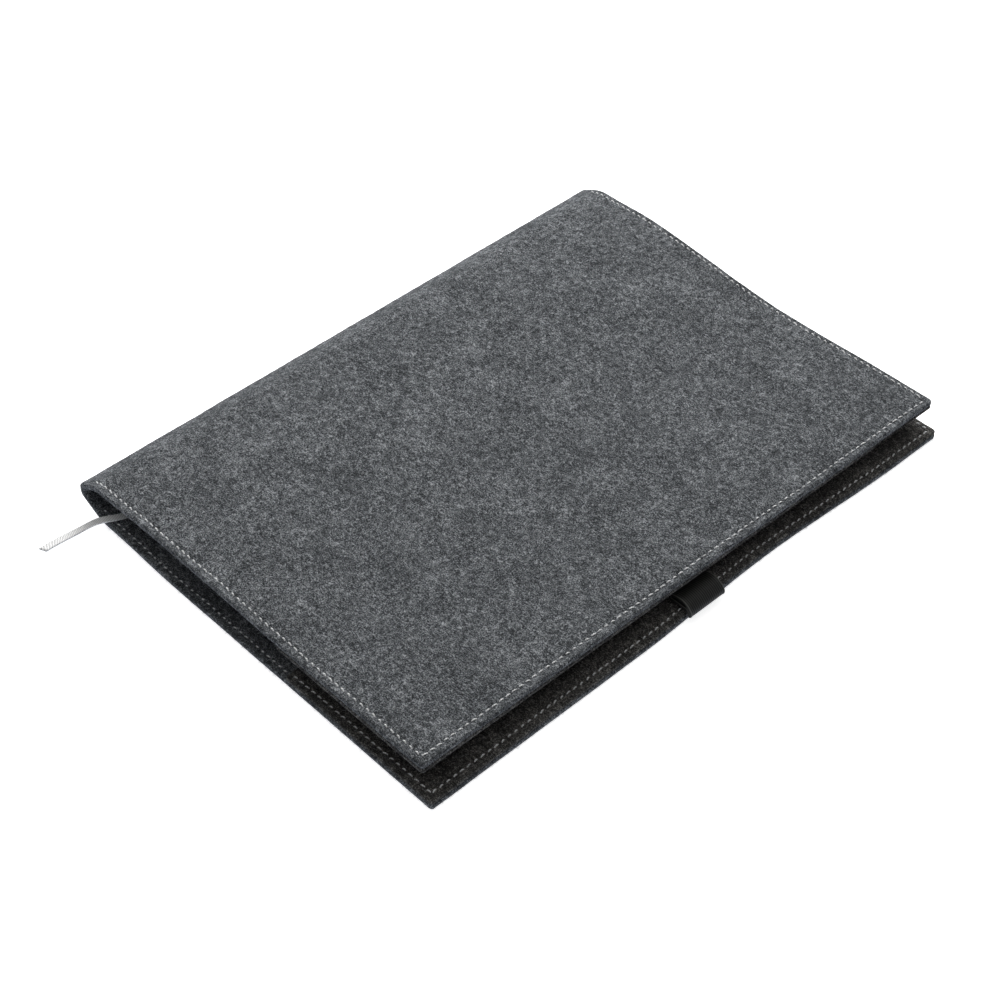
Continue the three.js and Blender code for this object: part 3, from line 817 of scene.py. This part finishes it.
def stitches(name, s, y, along_s, depth, inwards, seed):
    """One mesh of many stitches. Each is an oval rod of seven rings: its middle stands just proud of the
    felt and its ends drop into the holes; chance turns, lengthens and sinks each a little."""
    chance = np.random.default_rng(seed)
    count = len(s)
    turn = chance.normal(0, 0.09, count) - STITCH_SLANT
    length = STITCH * chance.uniform(0.8, 1.12, count)
    sunk = chance.uniform(0, 0.00013, count)[:, None, None]
    ring_at = np.array([-0.5, -0.43, -0.24, 0, 0.24, 0.43, 0.5])
    ring_wide = np.array([0.35, 0.8, 1, 1.04, 1, 0.8, 0.35])
    ring_drop = np.array([1.0, 0.62, 0.16, 0, 0.16, 0.62, 1.0])
    around = np.linspace(0, 2 * math.pi, 6, endpoint=False)
    run = ring_at[None, :, None] * length[:, None, None]
    aside = ring_wide[None, :, None] * np.cos(around)[None, None, :] * THREAD / 2
    lift = ring_wide[None, :, None] * np.sin(around)[None, None, :] * THREAD * 0.36
    c, w = np.cos(turn)[:, None, None], np.sin(turn)[:, None, None]
    first, second = run * c - aside * w, run * w + aside * c
    on_s = along_s[:, None, None] > 0.5
    point_s = s[:, None, None] + np.where(on_s, first, -second)
    point_y = y[:, None, None] + np.where(on_s, second, first)
    into = depth + inwards * (PROUD + sunk + ring_drop[None, :, None] * HOLE_DEPTH - lift)
    points = in_felt(point_s, point_y, into + 0 * point_s)
    block = tube_faces(len(ring_at), len(around))
    first_point = (np.arange(count) * len(ring_at) * len(around))[:, None, None]
    faces = (block[None] + first_point).reshape(-1, 4)
    piece = mesh_piece(name, points.reshape(-1, 3), faces)
    put_attribute(piece, "twist", (run + 0 * aside).ravel())
    put_attribute(piece, "around", (0 * run + around[None, None, :] + 0 * aside).ravel())
    return face_outwards(piece)


def thread_polyester():
    """Pale grey plied thread: a slanting sine of length and of the way round shades the plies."""
    made, nodes, links, shader = new_material("seam_thread")
    twist, around = attribute(nodes, "twist"), attribute(nodes, "around")
    slant = maths(nodes, links, "MULTIPLY_ADD", twist, 2 * math.pi / PLY_PITCH, around)
    plies = maths(nodes, links, "SINE", slant)
    shade = maths(nodes, links, "MULTIPLY_ADD", plies, 0.4, 0.5)
    colour = ramp(nodes, links, shade, (0.1, (0.6, 0.605, 0.61)), (0.7, (0.95, 0.955, 0.96)))
    links.new(colour, shader.inputs["Base Color"])
    bump = nodes.new("ShaderNodeBump")
    bump.inputs["Strength"].default_value = 0.5
    bump.inputs["Distance"].default_value = 0.0001
    links.new(plies, bump.inputs["Height"])
    links.new(bump.outputs[0], shader.inputs["Normal"])
    shader.inputs["Roughness"].default_value = 0.55
    shader.inputs["Sheen Weight"].default_value = 0.2
    return made


seam_thread = thread_polyester()
stitch_sets = [
    ("front", front_edge_s, -1, fold_length - ROW_REACH, fold_length, ("spine_upper", "front_board"), 3),
    ("back", back_edge_s, 1, ROW_REACH, 0.0, ("back_board", "spine_lower"), 0),
]
for side, edge_s, inwards, row_end, board_end, bodies, index in stitch_sets:
    s, y, along_s = stitch_rows(edge_s, inwards, row_end)
    outside = stitches(side + "_outer_stitches", s, y, along_s, 0.0, 1.0, 31)
    over_flap = np.abs(s - edge_s) < POCKET_DEPTH - 0.001
    pinched_flap = flap_face - pinch(s, y, edge_s, board_end)
    inner_depth = np.where(over_flap, pinched_flap, FELT)[:, None, None]
    inside = stitches(side + "_inner_stitches", s, y, along_s, inner_depth, -1.0, 37)
    for piece, node in ((outside, side + "_outer_seam"), (inside, side + "_inner_seam")):
        piece.data.materials.append(seam_thread)
        blend_at_hinge(piece, index)
        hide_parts(node)

# ---------------------------------------------------------------- elastic pen loop
# A folded loop of black ribbed elastic, its two ends sewn between the back board's felts. The empty
# loop has sagged in over the flap; ribs run round it, with a thicker cord at each edge.
LOOP_WIDTH = 0.017
ELASTIC = 0.0008
RIB_PITCH, EDGE_CORD = 0.00085, 0.0008
PICK_STEP, YARN_STEP = 0.00045, 0.0006
loop_hinge = next(j for j in frame["joints"] if j["name"] == "pen_loop_swing")["pos_m"]
REACH, LEAF, OPEN = 0.0094, 0.0024, 0.0027
crown = LEAF + OPEN
loop_way = np.array(
    [
        (0, 0),
        (0.00055, 0.16 * crown),
        (0.0005, 0.38 * crown),
        (-0.0004, 0.63 * crown),
        (-0.2 * REACH, 0.87 * crown),
        (-0.42 * REACH, 0.99 * crown),
        (-0.62 * REACH, 0.98 * crown),
        (-0.84 * REACH, LEAF + 0.72 * OPEN),
        (-REACH, LEAF + 0.26 * OPEN),
        (-0.94 * REACH, LEAF + 0.02 * OPEN),
        (-0.7 * REACH, LEAF),
        (-0.36 * REACH, LEAF),
        (-0.18 * REACH, LEAF),
        (-0.00069, 0.65 * LEAF),
        (0, 0),
    ]
)


def ribbed_loop(way, width, thick, pitch, count):
    """A band carried once round a closed way. Across its width each face rises and falls as a rectified
    sine, one arch to a rib, and the ribs at its two edges are nearly a third thicker."""
    line = through(np.c_[way[:, 0], np.zeros(len(way)), way[:, 1]], count + 1)[:-1]
    tangent = np.roll(line, -1, axis=0) - np.roll(line, 1, axis=0)
    tangent /= np.linalg.norm(tangent, axis=1)[:, None]
    out = np.stack([-tangent[:, 2], 0 * tangent[:, 0], tangent[:, 0]], axis=1)
    ribs = int(round(width / pitch))
    t = np.linspace(0, 1, ribs * 6 + 1)
    arch = np.abs(np.sin(math.pi * ribs * t)) ** 0.7
    edge_cord = np.exp(-(((0.5 - np.abs(t - 0.5)) * width / EDGE_CORD) ** 2))
    rim = np.sqrt(np.clip(1 - (2 * t - 1) ** 60, 0.02, 1))
    rise = thick / 2 * (0.62 + 0.34 * arch) * (1 + 0.3 * edge_cord) * rim
    across = (t - 0.5) * width
    upper = line[:, None] - out[:, None] * rise[None, :, None]
    lower = line[:, None] + out[:, None] * rise[None, ::-1, None]
    upper[..., 1] += across[None]
    lower[..., 1] += across[None, ::-1]
    points = np.concatenate([upper, lower], axis=1)
    sides = points.shape[1]
    i, k = np.meshgrid(np.arange(count), np.arange(sides), indexing="ij")
    a, b = i * sides + k, i * sides + (k + 1) % sides
    c, d = ((i + 1) % count) * sides + (k + 1) % sides, ((i + 1) % count) * sides + k
    faces = np.stack([a, b, c, d], axis=-1).reshape(-1, 4)
    points = points.reshape(-1, 3) + (loop_hinge[0], 0, loop_hinge[2])
    piece = mesh_piece("elastic_loop", points, faces)
    length = np.r_[0, np.cumsum(np.linalg.norm(np.diff(line, axis=0), axis=1))]
    put_attribute(piece, "around", np.repeat(length, sides))
    put_attribute(piece, "across", np.tile(np.r_[across, across[::-1]], count))
    # Painted highlight mask: highest on each rib's top and raised further on the two edge cords.
    crest_highlight = arch * 0.8 + 0.45 * edge_cord
    put_attribute(piece, "rib", np.tile(np.r_[crest_highlight, crest_highlight[::-1]], count))
    return face_outwards(piece)


def loop_elastic():
    """Black covered rubber with painted light: the ribs run from painted shade, black, in their valleys to
    a painted highlight, dark grey, on their crests and edge cords. This is broken by the covering yarn, a
    sine of the way round times a sine of the place across."""
    made, nodes, links, shader = new_material("loop_elastic")
    around, rib, across = (attribute(nodes, n) for n in ("around", "rib", "across"))
    picks = maths(nodes, links, "SINE", maths(nodes, links, "MULTIPLY", around, 2 * math.pi / PICK_STEP))
    cross = maths(nodes, links, "SINE", maths(nodes, links, "MULTIPLY", across, 2 * math.pi / YARN_STEP))
    yarn = maths(nodes, links, "MULTIPLY_ADD", maths(nodes, links, "MULTIPLY", picks, cross), 0.25, 0.0)
    tone = maths(nodes, links, "MULTIPLY_ADD", rib, 0.8, yarn)
    # Painted light: the valley colour is painted shade and the crest colour is a painted highlight.
    valley_shade, slope, crest_highlight = (0.003, 0.003, 0.003), (0.02, 0.021, 0.019), (0.13, 0.13, 0.12)
    colour = ramp(nodes, links, tone, (0.25, valley_shade), (0.6, slope), (0.95, crest_highlight))
    links.new(colour, shader.inputs["Base Color"])
    bump = nodes.new("ShaderNodeBump")
    bump.inputs["Strength"].default_value = 0.6
    bump.inputs["Distance"].default_value = 0.0001
    links.new(yarn, bump.inputs["Height"])
    links.new(bump.outputs[0], shader.inputs["Normal"])
    shader.inputs["Roughness"].default_value = 0.5
    shader.inputs["Specular IOR Level"].default_value = 0.3
    return made


black_elastic = loop_elastic()
elastic_loop = ribbed_loop(loop_way, LOOP_WIDTH, ELASTIC, RIB_PITCH, count=120)
elastic_loop.data.materials.append(black_elastic)
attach(elastic_loop, "pen_loop")
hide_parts("pen_loop")
tab = frame["nodes"]["pen_loop_tab"]
tab.data.materials.clear()
tab.data.materials.append(black_elastic)

# ---------------------------------------------------------------- bar tack
# The ribbon's head end is held by a bar tack: a zigzag of the same pale thread over the ribbon,
# stitched down into the felt on both sides.
tack_low, tack_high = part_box("ribbon_tack")
TACK_RADIUS, TACK_TURNS = 0.00022, 8
TACK_SINK, TACK_DIVE = 0.0003, 0.0012


def zigzag_tack(low, high, turns):
    """A thread carried back and forth across the bar: x is a triangle wave with rounded turns, y moves
    on evenly, and z arches over the ribbon and dives at both sides."""
    t = np.linspace(0, 1, turns * 24 + 1)
    swing = np.cos(math.pi * turns * t)
    x = (low.x + high.x) / 2 + (high.x - low.x) / 2 * 0.93 * np.sign(swing) * np.abs(swing) ** 0.8
    y = low.y + (high.y - low.y) * (0.15 + 0.7 * t)
    z = high.z - TACK_SINK - TACK_DIVE * np.abs(swing) ** 6
    line = np.stack([x, y, z], axis=1)
    tangent = np.gradient(line, axis=0)
    tangent /= np.linalg.norm(tangent, axis=1)[:, None] + 1e-9
    first = np.cross(tangent, (0, 1, 0.2))
    first /= np.linalg.norm(first, axis=1)[:, None] + 1e-9
    second = np.cross(tangent, first)
    around = np.linspace(0, 2 * math.pi, 6, endpoint=False)
    ring = np.cos(around)[None, :, None] * first[:, None] + np.sin(around)[None, :, None] * second[:, None]
    points = line[:, None] + ring * TACK_RADIUS
    piece = mesh_piece("ribbon_bar_tack", points.reshape(-1, 3), tube_faces(len(t), 6))
    put_attribute(piece, "twist", np.repeat(t * turns * 0.005, 6))
    put_attribute(piece, "around", np.tile(around, len(t)))
    return face_outwards(piece)


bar_tack = zigzag_tack(tack_low, tack_high, TACK_TURNS)
bar_tack.data.materials.append(seam_thread)
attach(bar_tack, "back_board")
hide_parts("ribbon_tack")

# ---------------------------------------------------------------- floor and light
# A pale matt table top that glows, as over a light table, so shadows on it stay light and the rims are lit
# from below. The room is dark at eye height and bright at the ceiling, with one soft lamp by the spine.
TABLE_HALF, TABLE_DROP = 3, 0.0002
SWEEP_BEND, SWEEP_SIDES = 0.5, 64
table_corners = np.array([(-1, -1, 0), (1, -1, 0), (1, 1, 0), (-1, 1, 0)]) * TABLE_HALF
floor = mesh_piece("table_top", table_corners - (0, 0, TABLE_DROP), [(0, 1, 2, 3)])
floor_paint, _, _, floor_shader = new_material("table_white")
floor_shader.inputs["Base Color"].default_value = (0.9, 0.9, 0.9, 1)
floor_shader.inputs["Roughness"].default_value = 0.9
floor_shader.inputs["Emission Color"].default_value = (1, 1, 1, 1)
floor_shader.inputs["Emission Strength"].default_value = 0.78
floor.data.materials.append(floor_paint)
floor.visible_diffuse = floor.visible_glossy = floor.visible_shadow = False


def paper_sweep(radius, height):
    """A paper backdrop all round: a profile that leaves the table at that radius, turns up through a
    quarter circle of half a metre and rises to that height, carried round a full circle."""
    bend = np.linspace(0, math.pi / 2, 9)
    out = np.r_[radius + SWEEP_BEND * np.sin(bend), radius + SWEEP_BEND][:, None]
    up = np.r_[SWEEP_BEND - SWEEP_BEND * np.cos(bend) - TABLE_DROP, height][:, None]
    turn = np.linspace(0, 2 * math.pi, SWEEP_SIDES, endpoint=False)
    points = np.stack([out * np.cos(turn), out * np.sin(turn), up + 0 * turn], axis=-1)
    i, k = np.meshgrid(np.arange(len(out) - 1), np.arange(SWEEP_SIDES), indexing="ij")
    a, b = (i * SWEEP_SIDES + k).ravel(), (i * SWEEP_SIDES + (k + 1) % SWEEP_SIDES).ravel()
    faces = np.stack([b, a, a + SWEEP_SIDES, b + SWEEP_SIDES], axis=1)
    return mesh_piece("paper_backdrop", points.reshape(-1, 3), faces)


backdrop = paper_sweep(radius=2.4, height=3.0)
backdrop.data.materials.append(floor_paint)
backdrop.visible_diffuse = backdrop.visible_glossy = backdrop.visible_shadow = False
world = bpy.data.worlds.new("room")
world.use_nodes = True
room_nodes, room_links = world.node_tree.nodes, world.node_tree.links
ray = room_nodes.new("ShaderNodeTexCoord").outputs["Generated"]
split = room_nodes.new("ShaderNodeSeparateXYZ")
room_links.new(ray, split.inputs[0])
height = maths(room_nodes, room_links, "MULTIPLY_ADD", split.outputs["Z"], 0.5, 0.5)
brightness = ramp(
    room_nodes,
    room_links,
    height,
    (0.47, (0.88, 0.92, 1.0)),
    (0.5, (0.02, 0.02, 0.02)),
    (0.78, (0.03, 0.03, 0.03)),
    (0.97, (0.95, 0.95, 0.95)),
)
room_links.new(brightness, room_nodes["Background"].inputs[0])
bpy.context.scene.world = world


def soft_lamp(name, place, size, power):
    """A square lamp of that size in metres that looks at the middle of the case."""
    lamp = bpy.data.objects.new(name, bpy.data.lights.new(name, "AREA"))
    lamp.data.size = size
    lamp.data.energy = power
    lamp.location = place
    lamp.rotation_mode = "QUATERNION"
    lamp.rotation_quaternion = (-Vector(place)).to_track_quat("-Z", "Y")
    bpy.context.scene.collection.objects.link(lamp)


soft_lamp("key_lamp", place=(-0.58, 0.42, 0.66), size=0.6, power=9.6)
bpy.context.scene.view_settings.view_transform = "Standard"
